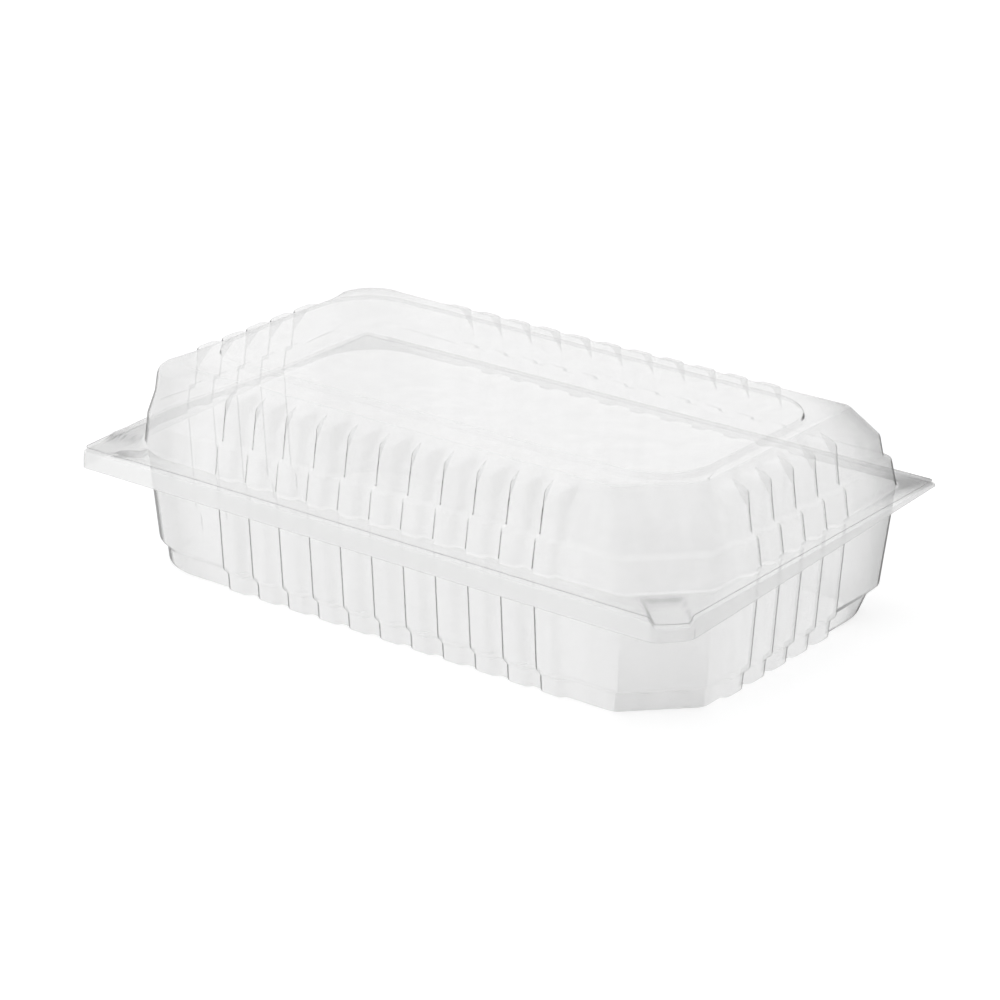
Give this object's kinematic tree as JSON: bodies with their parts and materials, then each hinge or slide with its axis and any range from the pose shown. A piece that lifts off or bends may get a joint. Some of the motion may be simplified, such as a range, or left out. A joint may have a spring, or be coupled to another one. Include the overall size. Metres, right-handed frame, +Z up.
{
  "type": "hinged food container",
  "caption": "Clear rectangular clamshell food container with a ribbed tray, a ribbed domed lid on a living hinge, a flat rim and pressed corner tabs.",
  "frame": {"origin": "on the resting plane, under the middle of the rim", "axes": "+Z up, +X along the long side towards the right end, +Y towards the hinge side; the lid opens at the -Y side"},
  "size_m": [0.2356, 0.1474, 0.0719],
  "materials": {
    "tray": "clear thermoformed plastic sheet, glossy",
    "lid": "clear thermoformed plastic sheet, glossy"
  },
  "bodies": {
    "tray": {"tray": "tray"},
    "lid": {"lid": "lid"}
  },
  "joints": [
    {"name": "lid_hinge", "type": "hinge", "parent": "tray", "child": "lid", "pos_m": [0, 0.0734, 0.04217], "axis": [-1, 0, 0], "range_deg": [0, 180]}
  ]
}
